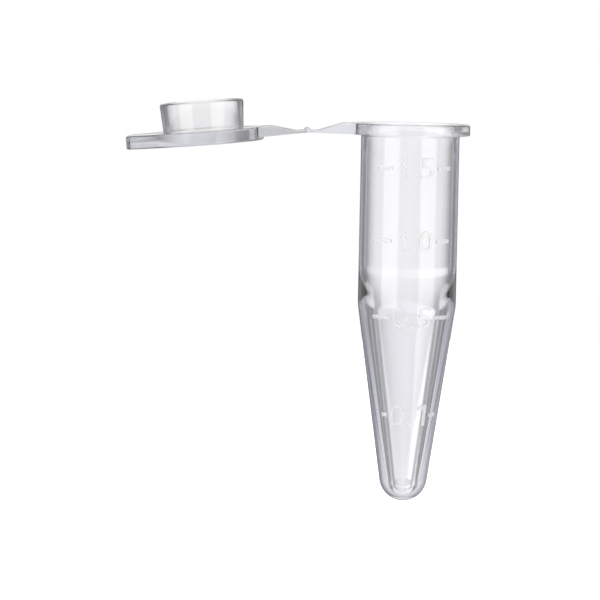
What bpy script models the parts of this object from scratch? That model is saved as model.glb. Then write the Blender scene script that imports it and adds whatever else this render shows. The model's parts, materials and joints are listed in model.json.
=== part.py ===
"""Microcentrifuge tube with a hinged snap lid, shown open.

The lid lies upside down beside the tube, a little past flat. World Z is the tube's axis, the
face with the graduation marks looks along -Y, and the lid is on the -X side. The origin is on the
tube's axis at the underside of the rim collar, which is the face that rests on a rack.
"""

import math

import bmesh
import bpy
from mathutils import Matrix

MM = 0.001

# Tube: barrel, cone and rounded tip
BARREL_RADIUS = 5.3 * MM
BORE_RADIUS = 4.6 * MM
MOUTH_RADIUS = 4.85 * MM
LEAD_IN_DEPTH = 2.7 * MM
TUBE_LENGTH = 40.9 * MM
CONE_START_Z = -18.35 * MM
CONE_HALF_ANGLE = math.radians(8.15)
SHOULDER_Z = -18.9 * MM
SHOULDER_RISE = 3.6 * MM
INNER_CONE_RADIUS = 3.6 * MM
INNER_CONE_HALF_ANGLE = math.radians(7.5)
TIP_WALL = 1.05 * MM
LIP_ROUND = 0.12 * MM

# Rim collar
COLLAR_RADIUS = 6.42 * MM
COLLAR_THICKNESS = 1.22 * MM
COLLAR_ROUND = 0.22 * MM

# Hinge strap: two wedge leaves, two thin folds and the beaded web between them
FOLD_X = -10.16 * MM
TUBE_FOLD_DROP = 1.0 * MM
LID_FOLD_DROP = 0.88 * MM
CLOSED_GAP = 0.05 * MM
LEAF_WIDTH = 5.6 * MM
LEAF_TIP_THICKNESS = 0.28 * MM
TUBE_LEAF_DEPTH = 0.17 * MM
LID_LEAF_DEPTH = 0.2 * MM
LEAF_SLOPE_LENGTH = 2.95 * MM
LEAF_FLAT_LENGTH = 4.9 * MM
FOLD_CLEARANCE = 0.12 * MM
WEB_WIDTH = 5.0 * MM
WEB_THICKNESS = 0.19 * MM
BEAD_RADIUS = 0.34 * MM
BEAD_SIDE_ANGLE = 17
FOLD_TILT = math.radians(-2.6)

# Lid
LID_THICKNESS = 1.44 * MM
LID_ROUND = 0.2 * MM
PLUG_BASE_RADIUS = 4.32 * MM
PLUG_RIM_RADIUS = 4.53 * MM
PLUG_HEIGHT = 3.15 * MM
PLUG_WALL = 0.6 * MM
PLUG_ROUND = 0.25 * MM
TAB_REACH = 1.9 * MM
TAB_WIDTH = 6.0 * MM
TAB_CORNER = 1.1 * MM
TAB_THICKNESS = 1.4 * MM
TAB_ROUND = 0.15 * MM

# Raised graduation marks, placed by their distance round the barrel from the front line
MARK_HEIGHT = 0.12 * MM
DIGIT_HEIGHT = 2.3 * MM
DIGIT_ADVANCE = 1.77 * MM
POINT_ADVANCE = 0.88 * MM
GLYPH_WIDTHS = {"0": 1.5 * MM, "1": 0.95 * MM, "5": 1.5 * MM, ".": 0.44 * MM}
STROKE = 0.4 * MM
FLAG_DEPTH = 0.5 * MM
FLAG_SLOPE = 0.22 * MM
FONT_DEPTH = 0.1
LABEL_START = -1.78 * MM
TICK_THICKNESS = 0.42 * MM
TICK_SPANS = ((-4.15 * MM, -1.98 * MM), (2.98 * MM, 4.7 * MM))
GRADUATIONS = (("1.5", -3.4 * MM), ("1.0", -11.16 * MM), ("0.5", -19.35 * MM), ("0.1", -29.97 * MM))
SMALLEST_TICK_SPANS = ((-2.75 * MM, -2.1 * MM), (2.8 * MM, 3.75 * MM))

# Meshing
PART_GAP = 0.05 * MM
MARK_GAP = 0.02 * MM
TURNED_STEPS = 64
ARC_STEPS = 6
WRAP_STEP = 0.35 * MM
SMOOTH_ANGLE = math.radians(35)
MERGE = 1e-6

# Derived places
COLLAR_TOP_Z = COLLAR_THICKNESS
TIP_Z = COLLAR_TOP_Z - TUBE_LENGTH
FOLD_Z = COLLAR_TOP_Z - TUBE_FOLD_DROP
WEB_LENGTH = TUBE_FOLD_DROP + LID_FOLD_DROP + CLOSED_GAP
LID_CENTRE_X = FOLD_X
LID_INNER_Z = LID_FOLD_DROP
LID_OUTER_Z = LID_FOLD_DROP - LID_THICKNESS


def clear_scene():
    for obj in list(bpy.data.objects):
        bpy.data.objects.remove(obj, do_unlink=True)


def new_collection(name):
    collection = bpy.data.collections.new(name)
    bpy.context.scene.collection.children.link(collection)
    return collection


clear_scene()
PARTS = new_collection("microcentrifuge_tube")
CUTTERS = new_collection("cutters")


# Materials


def plastic(name, colour, roughness, alpha):
    material = bpy.data.materials.new(name)
    material.use_nodes = True
    shader = material.node_tree.nodes["Principled BSDF"]
    shader.inputs["Base Color"].default_value = (*colour, 1)
    shader.inputs["Roughness"].default_value = roughness
    shader.inputs["Metallic"].default_value = 0
    shader.inputs["IOR"].default_value = 1.49
    shader.inputs["Alpha"].default_value = alpha
    material.diffuse_color = (*colour, alpha)
    return material


def clear_polypropylene():
    return plastic("clear_polypropylene", (0.86, 0.87, 0.89), 0.12, 0.45)


def lid_polypropylene():
    return plastic("lid_polypropylene", (0.78, 0.78, 0.8), 0.2, 0.55)


def frosted_polypropylene():
    return plastic("frosted_polypropylene", (0.9, 0.91, 0.92), 0.55, 0.8)


# Shape helpers


def link_mesh(name, mesh, material, collection=PARTS):
    obj = bpy.data.objects.new(name, mesh)
    collection.objects.link(obj)
    if material:
        mesh.materials.append(material)
    return obj


def shade_round(mesh):
    mesh.shade_smooth()
    mesh.set_sharp_from_angle(angle=SMOOTH_ANGLE)


def arc(centre, radius, start, end, steps=ARC_STEPS):
    """Points on an arc in the XZ plane, from start to end degrees, 0 along +X and 90 along +Z."""
    points = []
    for step in range(steps + 1):
        angle = math.radians(start + (end - start) * step / steps)
        x = centre[0] + radius * math.cos(angle)
        z = centre[1] + radius * math.sin(angle)
        points.append((x, z))
    return points


def turned(name, profile, material, closed=False):
    """A body of revolution about Z. The profile runs down its outer side, top to bottom."""
    edges = [(i, i + 1) for i in range(len(profile) - 1)]
    if closed:
        edges.append((len(profile) - 1, 0))
    mesh = bpy.data.meshes.new(name)
    mesh.from_pydata([(x, 0, z) for x, z in profile], edges, [])
    obj = link_mesh(name, mesh, material)
    screw = obj.modifiers.new("turn", "SCREW")
    screw.axis = "Z"
    screw.angle = 2 * math.pi
    screw.steps = TURNED_STEPS
    screw.render_steps = TURNED_STEPS
    screw.use_merge_vertices = True
    screw.merge_threshold = MERGE
    screw.use_smooth_shade = True
    return obj


def face_outward(shape):
    bmesh.ops.recalc_face_normals(shape, faces=shape.faces)
    if shape.calc_volume(signed=True) < 0:
        bmesh.ops.reverse_faces(shape, faces=shape.faces)


def mesh_from_curve(curve_object):
    """The evaluated curve as a mesh with its caps welded; the curve is removed."""
    graph = bpy.context.evaluated_depsgraph_get()
    mesh = bpy.data.meshes.new_from_object(curve_object.evaluated_get(graph))
    bpy.data.objects.remove(curve_object, do_unlink=True)
    shape = bmesh.new()
    shape.from_mesh(mesh)
    bmesh.ops.remove_doubles(shape, verts=shape.verts, dist=MERGE)
    face_outward(shape)
    shape.to_mesh(mesh)
    shape.free()
    return mesh


def extruded(name, outline, width, material):
    """A flat outline in the curve's own XY plane, extruded to width, centred on that plane."""
    curve = bpy.data.curves.new(name, "CURVE")
    curve.dimensions = "2D"
    curve.fill_mode = "BOTH"
    curve.extrude = width / 2
    spline = curve.splines.new("POLY")
    spline.points.add(len(outline) - 1)
    for point, (x, y) in zip(spline.points, outline):
        point.co = (x, y, 0, 1)
    spline.use_cyclic_u = True
    curve_object = bpy.data.objects.new(name, curve)
    PARTS.objects.link(curve_object)
    bpy.context.view_layer.update()
    mesh = mesh_from_curve(curve_object)
    mesh.name = name
    return link_mesh(name, mesh, material)


def extruded_side_view(name, outline, width, material):
    """An outline in the XZ plane, extruded along Y."""
    obj = extruded(name, outline, width, material)
    obj.data.transform(Matrix.Rotation(math.pi / 2, 4, "X"))
    return obj


def round_edges(obj, width, segments=2):
    bevel = obj.modifiers.new("round", "BEVEL")
    bevel.width = width
    bevel.segments = segments
    bevel.limit_method = "ANGLE"
    bevel.angle_limit = SMOOTH_ANGLE


def cut(obj, cutter):
    boolean = obj.modifiers.new("cut", "BOOLEAN")
    boolean.operation = "DIFFERENCE"
    boolean.solver = "EXACT"
    boolean.object = cutter


def disc_cutter(name, radius, parent=None, location=(0, 0, 0)):
    """An upright cylinder that clears a round edge, taller than what it cuts."""
    shape = bmesh.new()
    bmesh.ops.create_cone(
        shape,
        cap_ends=True,
        segments=TURNED_STEPS,
        radius1=radius + PART_GAP,
        radius2=radius + PART_GAP,
        depth=4 * LID_THICKNESS,
    )
    mesh = bpy.data.meshes.new(name)
    shape.to_mesh(mesh)
    shape.free()
    cutter = link_mesh(name, mesh, None, CUTTERS)
    cutter.hide_render = True
    cutter.display_type = "WIRE"
    cutter.parent = parent
    cutter.location = location
    return cutter


# Tube


def outer_radius(z):
    """The outer surface's radius at height z, above the rounded tip."""
    if z > CONE_START_Z:
        return BARREL_RADIUS
    return BARREL_RADIUS - (CONE_START_Z - z) * math.tan(CONE_HALF_ANGLE)


def inner_cone_radius(z):
    return INNER_CONE_RADIUS - (SHOULDER_Z - z) * math.tan(INNER_CONE_HALF_ANGLE)


def tip_radius(radius_at, half_angle, bottom_z):
    """The radius of the ball that ends a cone at bottom_z and meets its side smoothly."""
    slope = math.tan(half_angle)
    apex_z = bottom_z - radius_at(bottom_z) / slope
    reach = 1 / math.sin(half_angle) - 1
    return (bottom_z - apex_z) / reach


def tube_body(material):
    inner_bottom = TIP_Z + TIP_WALL
    inner_ball = tip_radius(inner_cone_radius, INNER_CONE_HALF_ANGLE, inner_bottom)
    outer_ball = tip_radius(outer_radius, CONE_HALF_ANGLE, TIP_Z)
    inner_side = -math.degrees(INNER_CONE_HALF_ANGLE)
    outer_side = -math.degrees(CONE_HALF_ANGLE)
    lip = LIP_ROUND
    profile = arc((0, inner_bottom + inner_ball), inner_ball, -90, inner_side, 8)
    profile.append((INNER_CONE_RADIUS, SHOULDER_Z))
    profile.append((BORE_RADIUS, SHOULDER_Z + SHOULDER_RISE))
    profile.append((BORE_RADIUS, COLLAR_TOP_Z - LEAD_IN_DEPTH))
    profile += arc((MOUTH_RADIUS + lip, COLLAR_TOP_Z - lip), lip, 180, 90, 3)
    profile.append((BARREL_RADIUS, COLLAR_TOP_Z))
    profile.append((BARREL_RADIUS, CONE_START_Z))
    profile += arc((0, TIP_Z + outer_ball), outer_ball, outer_side, -90, 9)
    return turned("tube_body", profile, material)


def rim_collar(material):
    inner = BARREL_RADIUS + PART_GAP
    edge = COLLAR_ROUND
    small_edge = COLLAR_ROUND / 2
    profile = [(inner, COLLAR_TOP_Z)]
    profile += arc((COLLAR_RADIUS - edge, COLLAR_TOP_Z - edge), edge, 90, 0, 4)
    profile += arc((COLLAR_RADIUS - small_edge, small_edge), small_edge, 0, -90, 3)
    profile.append((inner, 0))
    return turned("rim_collar", profile, material, closed=True)


# Graduation marks


def flat_bar(length, height):
    """A flat box from the origin, MARK_HEIGHT thick along Z."""
    shape = bmesh.new()
    bmesh.ops.create_cube(shape, size=1)
    bmesh.ops.translate(shape, verts=shape.verts, vec=(0.5, 0.5, 0.5))
    bmesh.ops.scale(shape, verts=shape.verts, vec=(length, height, MARK_HEIGHT))
    mesh = bpy.data.meshes.new("bar")
    shape.to_mesh(mesh)
    shape.free()
    return mesh


def font_digit(character):
    """A digit of the built-in font as an extruded solid."""
    text = bpy.data.curves.new("digit", "FONT")
    text.body = character
    text.extrude = FONT_DEPTH
    text.resolution_u = 3
    text_object = bpy.data.objects.new("digit", text)
    PARTS.objects.link(text_object)
    bpy.context.view_layer.update()
    return mesh_from_curve(text_object)


def plain_one():
    """A sans-serif 1: an upright stem at the right with a flag sloping down to the left."""
    right = GLYPH_WIDTHS["1"]
    stem = right - STROKE
    flag_root = DIGIT_HEIGHT - FLAG_DEPTH
    flag_end = flag_root - FLAG_SLOPE
    outline = [
        (stem, 0),
        (right, 0),
        (right, DIGIT_HEIGHT),
        (stem, DIGIT_HEIGHT),
        (0, flag_end + STROKE),
        (0, flag_end),
        (stem, flag_root),
    ]
    one = extruded("one", outline, MARK_HEIGHT, None)
    mesh = one.data
    bpy.data.objects.remove(one, do_unlink=True)
    return mesh


def flat_glyph(character):
    """A raised character as a flat solid, scaled to its own width and height from the origin."""
    if character == ".":
        return flat_bar(GLYPH_WIDTHS["."], STROKE)
    mesh = plain_one() if character == "1" else font_digit(character)
    corners = [[point.co[axis] for point in mesh.vertices] for axis in range(3)]
    lowest = [min(values) for values in corners]
    size = [max(values) - min(values) for values in corners]
    wanted = (GLYPH_WIDTHS[character], DIGIT_HEIGHT, MARK_HEIGHT)
    for point in mesh.vertices:
        for axis in range(3):
            point.co[axis] = (point.co[axis] - lowest[axis]) / size[axis] * wanted[axis]
    return mesh


def slice_along(shape, axis, place):
    """Adds an edge loop to the shape where it crosses a plane, so that it can bend there."""
    point = [0, 0, 0]
    normal = [0, 0, 0]
    point[axis] = place
    normal[axis] = 1
    faces = shape.verts[:] + shape.edges[:] + shape.faces[:]
    bmesh.ops.bisect_plane(shape, geom=faces, dist=MERGE, plane_co=point, plane_no=normal)


def wrap_on_tube(name, mesh, arc_start, bottom_z, material):
    """Bends a flat solid round the tube: X becomes distance round it, Y height and Z depth."""
    shape = bmesh.new()
    shape.from_mesh(mesh)
    width = max(point.co.x for point in shape.verts)
    slices = max(2, math.ceil(width / WRAP_STEP))
    for index in range(1, slices):
        slice_along(shape, 0, width * index / slices)
    slice_along(shape, 1, CONE_START_Z - bottom_z)
    bmesh.ops.triangulate(shape, faces=shape.faces[:])
    middle_radius = outer_radius(bottom_z + DIGIT_HEIGHT / 2)
    for point in shape.verts:
        angle = (arc_start + point.co.x) / middle_radius
        z = bottom_z + point.co.y
        radius = outer_radius(z) + MARK_GAP + point.co.z
        point.co = (radius * math.sin(angle), -radius * math.cos(angle), z)
    face_outward(shape)
    shape.to_mesh(mesh)
    shape.free()
    mesh.name = name
    return link_mesh(name, mesh, material)


def graduation(label, middle_z, tick_spans, material):
    """One line of the scale: its digits and decimal point, with a tick on each side."""
    place = LABEL_START
    bottom_z = middle_z - DIGIT_HEIGHT / 2
    stem = "mark_" + label.replace(".", "_")
    for index, character in enumerate(label):
        advance = POINT_ADVANCE if character == "." else DIGIT_ADVANCE
        start = place + (advance - GLYPH_WIDTHS[character]) / 2
        part_name = "point" if character == "." else "digit_" + "abc"[index]
        wrap_on_tube(f"{stem}_{part_name}", flat_glyph(character), start, bottom_z, material)
        place += advance
    for side, (start, end) in zip(("left", "right"), tick_spans):
        tick = flat_bar(end - start, TICK_THICKNESS)
        tick_z = middle_z - TICK_THICKNESS / 2
        wrap_on_tube(f"{stem}_{side}_tick", tick, start, tick_z, material)


def graduations(material):
    for label, middle_z in GRADUATIONS:
        spans = SMALLEST_TICK_SPANS if label == "0.1" else TICK_SPANS
        graduation(label, middle_z, spans, material)


# Hinge strap


def leaf_outline(depth, rise):
    """Side view of a leaf: a wedge from the fold, then flat to the round edge.

    X runs from the fold at 0 towards the leaf's root, and Z from the middle of the film: the flat
    part reaches depth below it and rise above it.
    """
    start = FOLD_CLEARANCE
    half_tip = LEAF_TIP_THICKNESS / 2
    return [
        (start, -half_tip),
        (LEAF_SLOPE_LENGTH, -depth),
        (LEAF_FLAT_LENGTH, -depth),
        (LEAF_FLAT_LENGTH, rise),
        (LEAF_SLOPE_LENGTH, rise),
        (start, half_tip),
    ]


def tube_hinge_leaf(material):
    outline = leaf_outline(TUBE_LEAF_DEPTH, TUBE_FOLD_DROP)
    leaf = extruded_side_view("tube_hinge_leaf", outline, LEAF_WIDTH, material)
    leaf.location = (FOLD_X, 0, FOLD_Z)
    cut(leaf, disc_cutter("collar_clearance", COLLAR_RADIUS))
    return leaf


def hinge_web(material, joint):
    """The short link between the two folds, thin at both ends with a half-round bead across it."""
    half = WEB_THICKNESS / 2
    far_end = -WEB_LENGTH + FOLD_CLEARANCE
    outline = [(-FOLD_CLEARANCE, -half), (-FOLD_CLEARANCE, half)]
    outline += arc((-WEB_LENGTH / 2, 0), BEAD_RADIUS, BEAD_SIDE_ANGLE, 180 - BEAD_SIDE_ANGLE)
    outline += [(far_end, half), (far_end, -half)]
    web = extruded_side_view("hinge_web", outline, WEB_WIDTH, material)
    web.parent = joint
    return web


def lid_hinge_leaf(material, joint):
    outline = [(-x, z) for x, z in reversed(leaf_outline(LID_LEAF_DEPTH, LID_FOLD_DROP))]
    leaf = extruded_side_view("lid_hinge_leaf", outline, LEAF_WIDTH, material)
    leaf.parent = joint
    cut(leaf, disc_cutter("lid_edge_clearance", COLLAR_RADIUS, joint, (LID_CENTRE_X, 0, 0)))
    return leaf


# Lid


def lid_disc(material, joint):
    edge = LID_ROUND
    profile = [(0, LID_INNER_Z)]
    profile += arc((COLLAR_RADIUS - edge, LID_INNER_Z - edge), edge, 90, 0, 4)
    profile += arc((COLLAR_RADIUS - edge, LID_OUTER_Z + edge), edge, 0, -90, 4)
    profile.append((0, LID_OUTER_Z))
    disc = turned("lid_disc", profile, material)
    disc.parent = joint
    disc.location.x = LID_CENTRE_X
    return disc


def lid_plug(material, joint):
    """The hollow skirt that seals in the bore, flared towards its rounded rim."""
    bottom = LID_INNER_Z + PART_GAP
    rim_top = LID_INNER_Z + PLUG_HEIGHT
    edge = PLUG_ROUND
    profile = arc((PLUG_RIM_RADIUS - edge, rim_top - edge), edge, 90, 0, 4)
    profile.append((PLUG_BASE_RADIUS, bottom))
    profile.append((PLUG_BASE_RADIUS - PLUG_WALL, bottom))
    profile += arc((PLUG_RIM_RADIUS - PLUG_WALL + edge, rim_top - edge), edge, 180, 90, 4)
    plug = turned("lid_plug", profile, material, closed=True)
    plug.parent = joint
    plug.location.x = LID_CENTRE_X
    return plug


def tab_outline():
    """Plan view of the thumb tab: straight sides that leave the lid's edge smoothly, and a rounded end."""
    corner = TAB_CORNER
    corner_x = corner - COLLAR_RADIUS - TAB_REACH
    corner_y = TAB_WIDTH / 2 - corner
    spread = math.acos((COLLAR_RADIUS - corner) / math.hypot(corner_x, corner_y))
    side = math.degrees(math.atan2(corner_y, corner_x) - spread)
    start_x = COLLAR_RADIUS * math.cos(math.radians(side))
    start_y = COLLAR_RADIUS * math.sin(math.radians(side))
    outline = [(start_x, start_y)]
    outline += arc((corner_x, corner_y), corner, side, 180)
    outline += arc((corner_x, -corner_y), corner, 180, 360 - side)
    outline.append((start_x, -start_y))
    return outline


def thumb_tab(material, joint):
    tab = extruded("thumb_tab", tab_outline(), TAB_THICKNESS, material)
    tab.parent = joint
    tab.location = (LID_CENTRE_X, 0, (LID_INNER_Z + LID_OUTER_Z) / 2)
    round_edges(tab, TAB_ROUND)
    cut(tab, disc_cutter("tab_clearance", COLLAR_RADIUS, joint, (LID_CENTRE_X, 0, 0)))
    return tab


def fold(name, location, parent=None):
    """An empty on a fold's axis, turned to the rest position about Y."""
    joint = bpy.data.objects.new(name, None)
    PARTS.objects.link(joint)
    joint.parent = parent
    joint.location = location
    joint.rotation_euler.y = FOLD_TILT
    return joint


def build():
    clear = clear_polypropylene()
    lid_plastic = lid_polypropylene()
    frosted = frosted_polypropylene()
    tube_fold = fold("tube_fold", (FOLD_X, 0, FOLD_Z))
    lid_fold = fold("lid_fold", (-WEB_LENGTH, 0, 0), tube_fold)
    tube_body(clear)
    rim_collar(clear)
    tube_hinge_leaf(clear)
    graduations(frosted)
    hinge_web(clear, tube_fold)
    lid_hinge_leaf(lid_plastic, lid_fold)
    lid_disc(lid_plastic, lid_fold)
    lid_plug(clear, lid_fold)
    thumb_tab(lid_plastic, lid_fold)
    for obj in PARTS.objects:
        if obj.type == "MESH":
            shade_round(obj.data)


build()
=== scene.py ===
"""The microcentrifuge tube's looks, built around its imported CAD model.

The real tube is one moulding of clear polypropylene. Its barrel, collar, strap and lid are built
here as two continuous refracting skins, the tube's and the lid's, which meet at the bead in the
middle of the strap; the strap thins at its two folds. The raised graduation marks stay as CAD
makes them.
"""

import json
import math

import bmesh
import bpy
from mathutils import Matrix, Vector


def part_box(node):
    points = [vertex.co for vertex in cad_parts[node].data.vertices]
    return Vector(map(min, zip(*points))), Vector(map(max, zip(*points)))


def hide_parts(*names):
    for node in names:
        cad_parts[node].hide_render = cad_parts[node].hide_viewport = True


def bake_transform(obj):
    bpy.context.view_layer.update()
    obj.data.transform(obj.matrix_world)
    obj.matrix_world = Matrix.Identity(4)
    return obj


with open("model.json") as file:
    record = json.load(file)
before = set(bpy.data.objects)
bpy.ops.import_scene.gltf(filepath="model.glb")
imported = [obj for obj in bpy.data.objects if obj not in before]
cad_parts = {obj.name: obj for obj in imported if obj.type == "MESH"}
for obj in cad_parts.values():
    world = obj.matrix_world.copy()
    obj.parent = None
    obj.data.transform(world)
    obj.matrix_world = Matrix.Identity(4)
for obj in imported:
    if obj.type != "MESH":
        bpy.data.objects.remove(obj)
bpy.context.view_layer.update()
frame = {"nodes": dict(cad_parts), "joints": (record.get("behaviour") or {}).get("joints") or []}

MM = 0.001

# Between the collar and the lid when it is closed
CLOSED_GAP = 0.05 * MM

# Sizes read from the frame
TUBE_LOW, TUBE_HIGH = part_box("tube_body")
COLLAR_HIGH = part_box("rim_collar")[1]
LEAF_HALF_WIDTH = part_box("tube_hinge_leaf")[1].y
WEB_HALF_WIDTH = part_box("hinge_web")[1].y
JOINTS = {joint["name"]: joint for joint in frame["joints"]}
TUBE_FOLD = Vector(JOINTS["tube_fold"]["pos_m"])
LID_FOLD = Vector(JOINTS["lid_fold"]["pos_m"])
WEB_LENGTH = (LID_FOLD - TUBE_FOLD).length
FOLD_TILT = math.atan2(TUBE_FOLD.z - LID_FOLD.z, TUBE_FOLD.x - LID_FOLD.x)

BARREL_RADIUS = TUBE_HIGH.x
COLLAR_RADIUS = COLLAR_HIGH.x
COLLAR_TOP = COLLAR_HIGH.z
TIP_Z = TUBE_LOW.z
TUBE_FOLD_DROP = COLLAR_TOP - TUBE_FOLD.z
LID_REACH = -TUBE_FOLD.x
LID_FOLD_DROP = WEB_LENGTH - TUBE_FOLD_DROP - CLOSED_GAP

# Tube sizes that the frame's boxes don't give
BORE_RADIUS = 4.6 * MM
MOUTH_RADIUS = 4.85 * MM
LEAD_IN_DEPTH = 2.7 * MM
CONE_START_Z = -18.35 * MM
CONE_HALF_ANGLE = math.radians(8.15)
SHOULDER_Z = -18.9 * MM
SHOULDER_RISE = 3.6 * MM
INNER_CONE_RADIUS = 3.6 * MM
INNER_CONE_HALF_ANGLE = math.radians(7.5)
TIP_WALL = 1.05 * MM

# Strap sizes
LEAF_SLOPE_LENGTH = 2.95 * MM
TUBE_LEAF_DEPTH = 0.17 * MM
LID_LEAF_DEPTH = 0.2 * MM
FILM_THICKNESS = 0.24 * MM
BEAD_RADIUS = 0.36 * MM
BEAD_FOOT_SHARE = 0.96
FOLD_REACH = 0.22 * MM

# Lid sizes
LID_THICKNESS = 1.44 * MM
PLUG_BASE_RADIUS = 4.32 * MM
PLUG_RIM_RADIUS = 4.53 * MM
PLUG_HEIGHT = 3.15 * MM
PLUG_WALL = 0.6 * MM
TAB_REACH = 1.9 * MM
TAB_WIDTH = 6.0 * MM
TAB_CORNER = 1.1 * MM
PLATE_ROUND = 0.2 * MM
PLUG_EMBED = 0.3 * MM

# Roundings, overlaps and the length over which the strap narrows
SHOULDER_ROUND = 12 * MM
LEAD_IN_ROUND = 6 * MM
BARREL_FOOT_ROUND = 6 * MM
LIP_ROUND = 0.16 * MM
COLLAR_TOP_ROUND = 0.24 * MM
COLLAR_BOTTOM_ROUND = 0.12 * MM
COLLAR_ROOT_ROUND = 0.22 * MM
STRAP_ROUND = 0.07 * MM
LEAF_BEND_ROUND = 1.2 * MM
FOLD_ROUND = 0.5 * MM
BEAD_FOOT_ROUND = 0.06 * MM
PLUG_FOOT_ROUND = 2 * MM
PLUG_RIM_ROUND = 0.3 * MM
STRAP_EMBED = 1.0 * MM
STRAP_INSET = 0.04 * MM
WAIST_LENGTH = 1.2 * MM

# Meshing
TURNED_STEPS = 192
SMOOTH_ANGLE = math.radians(32)
BEVEL_ANGLE = math.radians(50)
TURN_MERGE = 1e-6
WELD = 2e-6

# Zones of the skins: how squarely an outside face looks out from the axis, where the material paints
# shade towards the outline, how much rougher the collar and the tube's strap are than the barrel,
# and the least share of that painted shade that the lid's leaf has
OUTWARD = 0.6
SOFT_ROUGHNESS = 0.1
SOFT_MARGIN = 0.1 * MM
LEAF_SHADE = 0.3
LEAF_ROOT_MARGIN = 0.05 * MM
LEAF_FOLD_MARGIN = 0.3 * MM

# Plastic
REFRACTIVE_INDEX = 1.49
# Facing values at which the painted shade towards the outline starts and is full
PAINTED_SHADE_START = 0.25
PAINTED_SHADE_END = 0.65
PALE_SHARE = 0.5
CLOUD_SIZE = 3.5 * MM
GRAIN_SIZE = 0.5 * MM
FLOW_SIZE = 2.2 * MM
RIPPLE = 0.01 * MM
ABSORPTION_MARGIN = 1.25

# Camera
LENS = 200
SENSOR_WIDTH = 36
FRAME_WIDTH = 64.9 * MM
ELEVATION = math.radians(4.8)
ROLL = math.radians(1.1)
AIM = Vector((-11.55 * MM, 0, -18.07 * MM))

# Floor
FLOOR_RADIUS = 0.5
FLOOR_DROP = 0.03
FLOOR_GLOW = 0.25

# The room that the plastic bends. Heights are the Z of a unit direction, so 0 is the horizon.
CARD_TURN = math.radians(1.5)
CARD_POWER = 1.5
CARD_LEVEL = 0.28
LOW_CARD_LEVEL = 0.3
OPEN_LEVEL = 1.02
CORNER_LEVEL = 0.7
LOW_CORNER_SHARE = 0.6
BAND_LOW = -0.23
BAND_HIGH = -0.135
BAND_BLUR = 0.035
BAND_LEFT = 0.98
BAND_RIGHT = 1.2
SKY_EDGE = 0.08
DEEP_FULL = -0.5
DEEP_EDGE = -0.36
DEEP_LEVEL = 0.95

# The soft boxes that it mirrors
BOX_INSIDE = -0.5
BOX_OUTSIDE = 0.17
BOX_LEVEL = 3.5
BACK_BOX_SHARE = 0.25
BOX_FOOT_LOW = -0.3
BOX_FOOT_HIGH = -0.15
LOW_BOX_START = -0.1
LOW_BOX_FULL = 0.3
MIRROR_FLOOR = 0.3
MIRROR_SKY_EDGE = 0.06
SIDE_BLUR = 0.3


# Outlines


def arc(centre, radius, start, end, steps=8):
    """Points from start to end degrees round a centre, 0 along the first axis."""
    points = []
    for step in range(steps + 1):
        angle = math.radians(start + (end - start) * step / steps)
        points.append((centre[0] + radius * math.cos(angle), centre[1] + radius * math.sin(angle)))
    return points


def rounded(outline, closed=True, steps=6):
    """An outline of (x, y, radius) corners, with each corner that has a radius turned into an arc."""
    points = []
    count = len(outline)
    for index, (x, y, radius) in enumerate(outline):
        ends = index in (0, count - 1) and not closed
        if radius == 0 or ends:
            points.append((x, y))
            continue
        corner = Vector((x, y))
        before = Vector(outline[index - 1][:2]) - corner
        after = Vector(outline[(index + 1) % count][:2]) - corner
        half = before.angle(after) / 2
        reach = min(radius / math.tan(half), before.length * 0.49, after.length * 0.49)
        real_radius = reach * math.tan(half)
        inward = (before.normalized() + after.normalized()).normalized()
        centre = corner + inward * real_radius / math.sin(half)
        first = corner + before.normalized() * reach - centre
        last = corner + after.normalized() * reach - centre
        start = math.atan2(first.y, first.x)
        turn = math.remainder(math.atan2(last.y, last.x) - start, 2 * math.pi)
        for step in range(steps + 1):
            angle = start + turn * step / steps
            across = real_radius * math.cos(angle)
            up = real_radius * math.sin(angle)
            points.append((centre.x + across, centre.y + up))
    return points


# Mesh helpers


def link(name, mesh):
    obj = bpy.data.objects.new(name, mesh)
    bpy.context.scene.collection.objects.link(obj)
    return obj


def applied(obj):
    """Replaces the object's mesh with its evaluated mesh, without modifiers."""
    bpy.context.view_layer.update()
    graph = bpy.context.evaluated_depsgraph_get()
    mesh = bpy.data.meshes.new_from_object(obj.evaluated_get(graph))
    obj.modifiers.clear()
    obj.data = mesh
    return obj


def turned(name, profile):
    """A body of revolution about Z from an open profile that starts and ends on the axis."""
    mesh = bpy.data.meshes.new(name)
    mesh.from_pydata([(x, 0, z) for x, z in profile], [(i, i + 1) for i in range(len(profile) - 1)], [])
    obj = link(name, mesh)
    screw = obj.modifiers.new("turn", "SCREW")
    screw.axis = "Z"
    screw.angle = 2 * math.pi
    screw.steps = TURNED_STEPS
    screw.render_steps = TURNED_STEPS
    screw.use_merge_vertices = True
    screw.merge_threshold = TURN_MERGE
    return applied(obj)


def prism(name, outline, half_width):
    """An outline in the XZ plane extruded along Y; half_width gives the half width at each X."""
    shape = bmesh.new()
    front = [shape.verts.new((x, -half_width(x), z)) for x, z in outline]
    back = [shape.verts.new((x, half_width(x), z)) for x, z in outline]
    shape.faces.new(front)
    shape.faces.new(list(reversed(back)))
    count = len(outline)
    for index in range(count):
        after = (index + 1) % count
        shape.faces.new((front[index], back[index], back[after], front[after]))
    bmesh.ops.recalc_face_normals(shape, faces=shape.faces)
    mesh = bpy.data.meshes.new(name)
    shape.to_mesh(mesh)
    shape.free()
    return link(name, mesh)


def plate(name, outline, low, high):
    """An outline in the XY plane extruded along Z."""
    shape = bmesh.new()
    bottom = [shape.verts.new((x, y, low)) for x, y in outline]
    top = [shape.verts.new((x, y, high)) for x, y in outline]
    shape.faces.new(bottom)
    shape.faces.new(top)
    count = len(outline)
    for index in range(count):
        after = (index + 1) % count
        shape.faces.new((bottom[index], bottom[after], top[after], top[index]))
    bmesh.ops.recalc_face_normals(shape, faces=shape.faces)
    mesh = bpy.data.meshes.new(name)
    shape.to_mesh(mesh)
    shape.free()
    return link(name, mesh)


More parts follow.
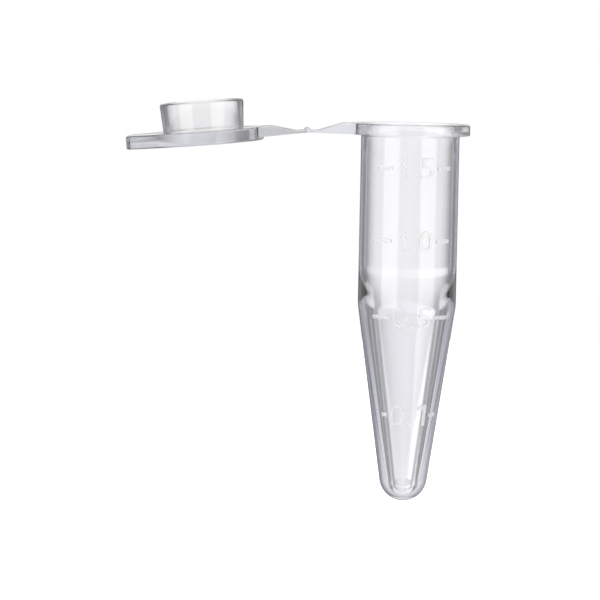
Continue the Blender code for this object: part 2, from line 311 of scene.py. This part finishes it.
def rounded_edges(obj, width, segments=3):
    bevel = obj.modifiers.new("round", "BEVEL")
    bevel.width = width
    bevel.segments = segments
    bevel.limit_method = "ANGLE"
    bevel.angle_limit = BEVEL_ANGLE
    applied(obj)


def joined(obj, *others):
    """Makes one solid of the object and the others, which overlap it."""
    for other in others:
        union = obj.modifiers.new("join", "BOOLEAN")
        union.operation = "UNION"
        union.solver = "EXACT"
        union.object = other
    applied(obj)
    for other in others:
        bpy.data.objects.remove(other)


def finish_mesh(obj, material):
    shape = bmesh.new()
    shape.from_mesh(obj.data)
    bmesh.ops.remove_doubles(shape, verts=shape.verts, dist=WELD)
    bmesh.ops.recalc_face_normals(shape, faces=shape.faces)
    shape.to_mesh(obj.data)
    shape.free()
    obj.data.shade_smooth()
    obj.data.set_sharp_from_angle(angle=SMOOTH_ANGLE)
    obj.data.materials.clear()
    obj.data.materials.append(material)


def mark_outside(mesh, centre, axis, low, high):
    """Marks with 1 the faces from low to high along the axis that face out from it, and the rest with 0."""
    # The faces marked 1 get painted shade towards their outline in the plastic
    outside = mesh.attributes.new("outside", "FLOAT", "FACE")
    for face in mesh.polygons:
        out = face.center - centre
        along = out.dot(axis)
        out -= axis * along
        faces_out = face.normal.dot(out.normalized()) > OUTWARD
        outside.data[face.index].value = float(faces_out and low < along < high)


def mark_zone(mesh, name, value, inside):
    """Gives each face whose centre is inside the zone a value under the name, and the rest 0."""
    zone = mesh.attributes.new(name, "FLOAT", "FACE")
    for face in mesh.polygons:
        zone.data[face.index].value = value if inside(face.center) else 0.0


# The tube's skin


def outer_radius(z):
    return BARREL_RADIUS - max(0, CONE_START_Z - z) * math.tan(CONE_HALF_ANGLE)


def inner_cone_radius(z):
    return INNER_CONE_RADIUS - (SHOULDER_Z - z) * math.tan(INNER_CONE_HALF_ANGLE)


def ball_radius(radius_at, half_angle, bottom_z):
    """The radius of the ball that ends a cone at bottom_z and meets its side smoothly."""
    apex_z = bottom_z - radius_at(bottom_z) / math.tan(half_angle)
    return (bottom_z - apex_z) / (1 / math.sin(half_angle) - 1)


def tube_profile():
    """From the inside of the tip up the bore, over the collar and down the outside to the tip."""
    inner_bottom = TIP_Z + TIP_WALL
    inner_ball = ball_radius(inner_cone_radius, INNER_CONE_HALF_ANGLE, inner_bottom)
    outer_ball = ball_radius(outer_radius, CONE_HALF_ANGLE, TIP_Z)
    inner_angle = math.degrees(INNER_CONE_HALF_ANGLE)
    outer_angle = math.degrees(CONE_HALF_ANGLE)
    inner_tip = arc((0, inner_bottom + inner_ball), inner_ball, -90, -inner_angle, 16)
    outer_tip = arc((0, TIP_Z + outer_ball), outer_ball, -outer_angle, -90, 20)
    between = rounded(
        [
            (*inner_tip[-1], 0),
            (INNER_CONE_RADIUS, SHOULDER_Z, SHOULDER_ROUND),
            (BORE_RADIUS, SHOULDER_Z + SHOULDER_RISE, SHOULDER_ROUND),
            (BORE_RADIUS, COLLAR_TOP - LEAD_IN_DEPTH, LEAD_IN_ROUND),
            (MOUTH_RADIUS, COLLAR_TOP, LIP_ROUND),
            (COLLAR_RADIUS, COLLAR_TOP, COLLAR_TOP_ROUND),
            (COLLAR_RADIUS, 0, COLLAR_BOTTOM_ROUND),
            (BARREL_RADIUS, 0, COLLAR_ROOT_ROUND),
            (BARREL_RADIUS, CONE_START_Z, BARREL_FOOT_ROUND),
            (*outer_tip[0], 0),
        ],
        closed=False,
    )
    return inner_tip[:-1] + between + outer_tip[1:]


def strap_half_width(x):
    """The strap is as wide as its leaves, and a little narrower along the film between them."""
    past_leaf = min(1, max(0, (TUBE_FOLD.x + WAIST_LENGTH - x) / WAIST_LENGTH))
    ease = past_leaf * past_leaf * (3 - 2 * past_leaf)
    return LEAF_HALF_WIDTH + (WEB_HALF_WIDTH - LEAF_HALF_WIDTH) * ease


def strap_outline(root_x, depth, rise):
    """Side view of half the strap: leaf, thin fold, film and half the bead.

    X is 0 at the fold and grows towards the root; Z is 0 in the middle of the film. The leaf's
    outer face is depth below that, and its inner face is rise above it, less a small inset.
    """
    half_film = FILM_THICKNESS / 2
    bead_x = -WEB_LENGTH / 2
    inner_z = rise - STRAP_INSET
    corners = [
        (bead_x, -half_film, 0),
        (FOLD_REACH, -half_film, FOLD_ROUND),
        (LEAF_SLOPE_LENGTH, -depth, LEAF_BEND_ROUND),
        (root_x, -depth, 0),
        (root_x, inner_z, 0),
        (LEAF_SLOPE_LENGTH, inner_z, LEAF_BEND_ROUND),
        (FOLD_REACH, half_film, FOLD_ROUND),
        (bead_x + BEAD_RADIUS * BEAD_FOOT_SHARE, half_film, BEAD_FOOT_ROUND),
    ]
    quarter = arc((bead_x, 0), BEAD_RADIUS, 30, 90, 8)
    return rounded(corners) + quarter


def tube_skin(material):
    skin = turned("tube_skin", tube_profile())
    root = -COLLAR_RADIUS + STRAP_EMBED - TUBE_FOLD.x
    side = strap_outline(root, TUBE_LEAF_DEPTH, TUBE_FOLD_DROP)
    outline = [(TUBE_FOLD.x + x, TUBE_FOLD.z + z) for x, z in side]
    strap = prism("tube_strap", outline, strap_half_width)
    rounded_edges(strap, STRAP_ROUND)
    joined(skin, strap)
    finish_mesh(skin, material)
    mark_outside(skin.data, Vector(), Vector((0, 0, 1)), TIP_Z, 0)
    past_barrel = BARREL_RADIUS + SOFT_MARGIN
    mark_zone(skin.data, "soft", SOFT_ROUGHNESS, lambda at: math.hypot(at.x, at.y) > past_barrel)
    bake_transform(skin)
    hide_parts("tube_body", "rim_collar", "tube_hinge_leaf")


# The lid's skin


def lid_outline():
    """Plan view of the lid about its own axis: round, with straight sides out to the thumb tab."""
    corner = TAB_CORNER
    corner_x = corner - COLLAR_RADIUS - TAB_REACH
    corner_y = TAB_WIDTH / 2 - corner
    spread = math.acos((COLLAR_RADIUS - corner) / math.hypot(corner_x, corner_y))
    side = math.degrees(math.atan2(corner_y, corner_x) - spread)
    outline = arc((0, 0), COLLAR_RADIUS, -side, side, 140)
    outline += arc((corner_x, corner_y), corner, side, 180, 10)
    outline += arc((corner_x, -corner_y), corner, 180, 360 - side, 10)
    return outline


def plug_profile():
    """The hollow skirt's section as a loop, from inside the lid's plate up to its flared rim."""
    foot = LID_FOLD_DROP - PLUG_EMBED
    rim = LID_FOLD_DROP + PLUG_HEIGHT
    corners = [
        (PLUG_BASE_RADIUS - PLUG_WALL, foot, 0),
        (PLUG_BASE_RADIUS - PLUG_WALL, LID_FOLD_DROP, PLUG_FOOT_ROUND),
        (PLUG_RIM_RADIUS - PLUG_WALL, rim, PLUG_RIM_ROUND),
        (PLUG_RIM_RADIUS, rim, PLUG_RIM_ROUND),
        (PLUG_BASE_RADIUS, LID_FOLD_DROP, PLUG_FOOT_ROUND),
        (PLUG_BASE_RADIUS, foot, 0),
    ]
    points = rounded(corners)
    return points + points[:1]


def lid_skin(material):
    """Built flat about the lid's fold, then tilted to the rest position."""
    skin = plate("lid_skin", lid_outline(), LID_FOLD_DROP - LID_THICKNESS, LID_FOLD_DROP)
    rounded_edges(skin, PLATE_ROUND, 4)
    joined(skin, turned("plug", plug_profile()))
    skin.data.transform(Matrix.Translation((-LID_REACH, 0, 0)))
    root = LID_REACH - COLLAR_RADIUS + STRAP_EMBED
    side = strap_outline(root, LID_LEAF_DEPTH, LID_FOLD_DROP)
    outline = [(-x, z) for x, z in side]
    strap = prism("lid_strap", outline, lambda x: strap_half_width(TUBE_FOLD.x - x))
    rounded_edges(strap, STRAP_ROUND)
    joined(skin, strap)
    tilt = Matrix.Translation(LID_FOLD) @ Matrix.Rotation(-2 * FOLD_TILT, 4, "Y")
    skin.data.transform(tilt)
    finish_mesh(skin, material)
    centre = tilt @ Vector((-LID_REACH, 0, 0))
    axis = tilt.to_3x3() @ Vector((0, 0, 1))
    mark_outside(skin.data, centre, axis, LID_FOLD_DROP, LID_FOLD_DROP + 2 * PLUG_HEIGHT)
    # Painted shade: the lid's leaf takes at least a fixed share of the plastic's painted shade
    leaf_start = LID_FOLD.x - LID_REACH + COLLAR_RADIUS + LEAF_ROOT_MARGIN
    leaf_end = LID_FOLD.x - LEAF_FOLD_MARGIN
    mark_zone(skin.data, "shade", LEAF_SHADE, lambda at: leaf_start < at.x < leaf_end)
    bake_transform(skin)
    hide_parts("hinge_web", "lid_hinge_leaf", "lid_disc", "lid_plug", "thumb_tab")


# Materials


class Nodes:
    """Short ways to add and join a node tree's nodes."""

    def __init__(self, tree):
        self.tree = tree
        self.nodes = tree.nodes

    def put(self, value, socket):
        if isinstance(value, bpy.types.NodeSocket):
            self.tree.links.new(value, socket)
        else:
            socket.default_value = value

    def maths(self, operation, *values):
        node = self.nodes.new("ShaderNodeMath")
        node.operation = operation
        for value, socket in zip(values, node.inputs):
            self.put(value, socket)
        return node.outputs[0]

    def ramp(self, value, start, end, low, high):
        """Low at start and high at end, eased between them and flat past them."""
        node = self.nodes.new("ShaderNodeMapRange")
        node.interpolation_type = "SMOOTHSTEP"
        for name, number in (("From Min", start), ("From Max", end), ("To Min", low), ("To Max", high)):
            self.put(number, node.inputs[name])
        self.put(value, node.inputs["Value"])
        return node.outputs[0]

    def mix(self, factor, first, second):
        node = self.nodes.new("ShaderNodeMix")
        node.data_type = "RGBA"
        self.put(factor, node.inputs["Factor"])
        self.put(first, node.inputs["A"])
        self.put(second, node.inputs["B"])
        return node.outputs["Result"]

    def noise(self, size, detail=2.0, stretch=(1, 1, 1)):
        """Noise from 0 to 1 whose blotches are about size across, drawn out along stretch."""
        place = self.nodes.new("ShaderNodeTexCoord").outputs["Object"]
        mapping = self.nodes.new("ShaderNodeMapping")
        mapping.inputs["Scale"].default_value = [1 / (size * part) for part in stretch]
        self.put(place, mapping.inputs["Vector"])
        node = self.nodes.new("ShaderNodeTexNoise")
        node.inputs["Scale"].default_value = 1
        node.inputs["Detail"].default_value = detail
        self.put(mapping.outputs[0], node.inputs["Vector"])
        return node.outputs[0]

    def attribute(self, name):
        """The value that each face has under this name, or 0 where it has none."""
        node = self.nodes.new("ShaderNodeAttribute")
        node.attribute_name = name
        return node.outputs["Fac"]

    def bump(self, height, distance):
        node = self.nodes.new("ShaderNodeBump")
        node.inputs["Distance"].default_value = distance
        self.put(height, node.inputs["Height"])
        return node.outputs["Normal"]


def plastic(name, middle, painted_edge_shade, roughness, haze, absorb=None):
    """Clear plastic whose tint, gloss and surface vary a little.

    Middle is its tint. The colour after it is painted shade, not a tint of the plastic: it darkens
    faces marked "outside" towards their outline, where they turn away from the eye, and "shade" is
    a face's least share of that painted shade. "soft" is added to a face's roughness. Haze is the
    share of light that it scatters instead of passing, and absorb is its absorption of each colour
    per metre.
    """
    material = bpy.data.materials.new(name)
    material.use_nodes = True
    tree = Nodes(material.node_tree)
    shader = tree.nodes["Principled BSDF"]
    shader.inputs["IOR"].default_value = REFRACTIVE_INDEX
    shader.inputs["Transmission Weight"].default_value = 1 - haze

    # Painted shade: Layer Weight darkens the base colour of "outside" faces as they turn from the eye
    layer = tree.nodes.new("ShaderNodeLayerWeight")
    painted_shade_share = tree.ramp(layer.outputs["Facing"], PAINTED_SHADE_START, PAINTED_SHADE_END, 0.0, 1.0)
    painted_shade_share = tree.maths("MULTIPLY", painted_shade_share, tree.attribute("outside"))
    painted_shade_share = tree.maths("MAXIMUM", painted_shade_share, tree.attribute("shade"))
    clouds = tree.ramp(tree.noise(CLOUD_SIZE, stretch=(1, 1, 2.5)), 0.3, 0.7, 0.0, 1.0)
    pale = tuple(1 - (1 - part) * PALE_SHARE for part in middle)
    tint = tree.mix(clouds, (*middle, 1), (*pale, 1))
    tree.put(tree.mix(painted_shade_share, tint, (*painted_edge_shade, 1)), shader.inputs["Base Color"])

    grain = tree.noise(GRAIN_SIZE, 3.0)
    polish = tree.ramp(grain, 0.25, 0.75, roughness * 0.7, roughness * 1.3)
    tree.put(tree.maths("ADD", polish, tree.attribute("soft")), shader.inputs["Roughness"])
    flow = tree.noise(FLOW_SIZE, 1.0, stretch=(1, 1, 4))
    tree.put(tree.bump(flow, RIPPLE), shader.inputs["Normal"])

    if absorb:
        volume = tree.nodes.new("ShaderNodeVolumeAbsorption")
        density = max(absorb) * ABSORPTION_MARGIN
        volume.inputs["Color"].default_value = (*(1 - part / density for part in absorb), 1)
        volume.inputs["Density"].default_value = density
        tree.put(volume.outputs[0], tree.nodes["Material Output"].inputs["Volume"])
    return material


def clear_polypropylene():
    return plastic(
        "clear_polypropylene",
        middle=(0.97, 0.97, 0.975),
        # painted shade towards the outline of the tube's walls
        painted_edge_shade=(0.16, 0.165, 0.21),
        roughness=0.05,
        haze=0.02,
        absorb=(40, 39, 26),
    )


def lid_polypropylene():
    return plastic(
        "lid_polypropylene",
        middle=(0.95, 0.95, 0.955),
        # painted shade towards the outline of the lid's walls
        painted_edge_shade=(0.16, 0.165, 0.2),
        roughness=0.07,
        haze=0.05,
        absorb=(34, 33, 27),
    )


def frosted_polypropylene():
    return plastic(
        "frosted_polypropylene",
        middle=(0.97, 0.97, 0.97),
        # a slight painted shade towards the outline of the marks
        painted_edge_shade=(0.9, 0.9, 0.9),
        roughness=0.35,
        haze=0.3,
    )


# Stage


def stage_floor():
    """A plain pale floor, which the plastic neither bends nor mirrors."""
    shape = bmesh.new()
    bmesh.ops.create_circle(shape, cap_ends=True, segments=96, radius=FLOOR_RADIUS)
    mesh = bpy.data.meshes.new("floor")
    shape.to_mesh(mesh)
    shape.free()
    floor = link("floor", mesh)
    floor.location.z = TIP_Z - FLOOR_DROP
    floor.visible_transmission = False
    floor.visible_glossy = False
    material = bpy.data.materials.new("pale_floor")
    material.use_nodes = True
    shader = material.node_tree.nodes["Principled BSDF"]
    shader.inputs["Base Color"].default_value = (0.95, 0.95, 0.95, 1)
    shader.inputs["Emission Color"].default_value = (1, 1, 1, 1)
    shader.inputs["Emission Strength"].default_value = FLOOR_GLOW
    shader.inputs["Roughness"].default_value = 0.9
    mesh.materials.append(material)


def camera():
    """A long lens, side on to the hinge and a little above it, rolled by a degree as in the photo."""
    data = bpy.data.cameras.new("camera")
    data.sensor_width = SENSOR_WIDTH
    data.lens = LENS
    cam = bpy.data.objects.new("camera", data)
    bpy.context.scene.collection.objects.link(cam)
    distance = FRAME_WIDTH * LENS / SENSOR_WIDTH
    back = Vector((0, -math.cos(ELEVATION), math.sin(ELEVATION)))
    cam.location = AIM + back * distance
    turn = back.to_track_quat("Z", "Y")
    cam.rotation_mode = "QUATERNION"
    cam.rotation_quaternion = turn @ Matrix.Rotation(ROLL, 4, "Z").to_quaternion()
    data.clip_start = 0.01
    data.clip_end = 10
    bpy.context.scene.camera = cam


def bent_light(tree, azimuth, direction):
    """A white room with four openings between dark cards.

    A dim strip runs down the middle of each card, and a bright band runs round the room a little
    below the horizon, except at the middle of the cards. The room is white above the horizon and on
    a board at the front on the right, and nearly white far below.
    """
    across, away, height = direction
    turned_azimuth = tree.maths("SUBTRACT", azimuth, CARD_TURN)
    quarter_wave = tree.maths("COSINE", tree.maths("MULTIPLY", turned_azimuth, 4.0))
    openness = tree.maths("MULTIPLY_ADD", quarter_wave, 0.5, 0.5)
    openness = tree.maths("POWER", openness, CARD_POWER)
    card_level = tree.ramp(height, BAND_LOW, BAND_HIGH, LOW_CARD_LEVEL, CARD_LEVEL)
    open_share = tree.maths("SUBTRACT", OPEN_LEVEL, card_level)
    cards = tree.maths("ADD", card_level, tree.maths("MULTIPLY", openness, open_share))

    eighth_wave = tree.maths("COSINE", tree.maths("MULTIPLY", turned_azimuth, 8.0))
    corners = tree.ramp(eighth_wave, 0.5, 0.95, 0.0, CORNER_LEVEL)
    corner_share = tree.ramp(height, BAND_LOW, BAND_HIGH, LOW_CORNER_SHARE, 1.0)
    corners = tree.maths("MULTIPLY", corners, corner_share)

    band_foot = tree.ramp(height, BAND_LOW - BAND_BLUR, BAND_LOW, 0.0, 1.0)
    band_top = tree.ramp(height, BAND_HIGH, BAND_HIGH + BAND_BLUR, 1.0, 0.0)
    band = tree.maths("MULTIPLY", band_foot, band_top)
    brighter_right = tree.ramp(across, -SIDE_BLUR, SIDE_BLUR, BAND_LEFT, BAND_RIGHT)
    band = tree.maths("MULTIPLY", band, brighter_right)
    band = tree.maths("MULTIPLY", band, tree.ramp(quarter_wave, -0.6, 0.1, 0.0, 1.0))

    on_right = tree.ramp(across, 0.0, 0.25, 0.0, 1.0)
    in_front = tree.ramp(away, -0.5, -0.2, 1.0, 0.0)
    front_board = tree.maths("MULTIPLY", on_right, in_front)
    sky = tree.ramp(height, 0.0, SKY_EDGE, 0.0, 1.0)
    deep = tree.ramp(height, DEEP_FULL, DEEP_EDGE, DEEP_LEVEL, 0.0)
    light = cards
    for part in (corners, band, front_board, sky, deep):
        light = tree.maths("MAXIMUM", light, part)
    return light


def mirrored_light(tree, azimuth, direction):
    """Four soft boxes in the room's corners, with white above the horizon and dim light below it.

    The two behind the object are dimmer, and those on the right reach further down.
    """
    across, away, height = direction
    box_wave = tree.maths("COSINE", tree.maths("MULTIPLY", azimuth, 4.0))
    boxes = tree.ramp(box_wave, BOX_INSIDE, BOX_OUTSIDE, BOX_LEVEL, 0.0)
    above_foot = tree.ramp(height, BOX_FOOT_LOW, BOX_FOOT_HIGH, 0.0, 1.0)
    low_box = tree.ramp(across, LOW_BOX_START, LOW_BOX_FULL, 0.0, 1.0)
    boxes = tree.maths("MULTIPLY", boxes, tree.maths("MAXIMUM", above_foot, low_box))
    behind = tree.ramp(away, -SIDE_BLUR, SIDE_BLUR, 1.0, BACK_BOX_SHARE)
    boxes = tree.maths("MULTIPLY", boxes, behind)
    sky = tree.ramp(height, 0.0, MIRROR_SKY_EDGE, MIRROR_FLOOR, 1.0)
    return tree.maths("MAXIMUM", boxes, sky)


def studio():
    """The eye sees the room as plain white, and the plastic bends one light and mirrors another.

    The kind of ray picks between them, so the two needn't agree as they would in a real room.
    """
    world = bpy.data.worlds.new("studio")
    bpy.context.scene.world = world
    world.use_nodes = True
    tree = Nodes(world.node_tree)
    background = tree.nodes["Background"]
    background.inputs["Color"].default_value = (1, 1, 1, 1)
    split = tree.nodes.new("ShaderNodeSeparateXYZ")
    tree.put(tree.nodes.new("ShaderNodeTexCoord").outputs["Generated"], split.inputs[0])
    direction = tuple(split.outputs)
    azimuth = tree.maths("ARCTAN2", direction[0], direction[1])
    bent = bent_light(tree, azimuth, direction)
    mirrored = mirrored_light(tree, azimuth, direction)

    path = tree.nodes.new("ShaderNodeLightPath")
    is_mirror = path.outputs["Is Reflection Ray"]
    bent_part = tree.maths("MULTIPLY", bent, tree.maths("SUBTRACT", 1.0, is_mirror))
    level = tree.maths("MULTIPLY_ADD", mirrored, is_mirror, bent_part)
    strength = tree.maths("MAXIMUM", level, path.outputs["Is Camera Ray"])
    tree.put(strength, background.inputs["Strength"])
    bpy.context.scene.view_settings.view_transform = "Standard"


tube_skin(clear_polypropylene())
lid_skin(lid_polypropylene())
frosted = frosted_polypropylene()
for name, node in frame["nodes"].items():
    if name.startswith("mark_"):
        node.data.materials.clear()
        node.data.materials.append(frosted)
stage_floor()
studio()
camera()
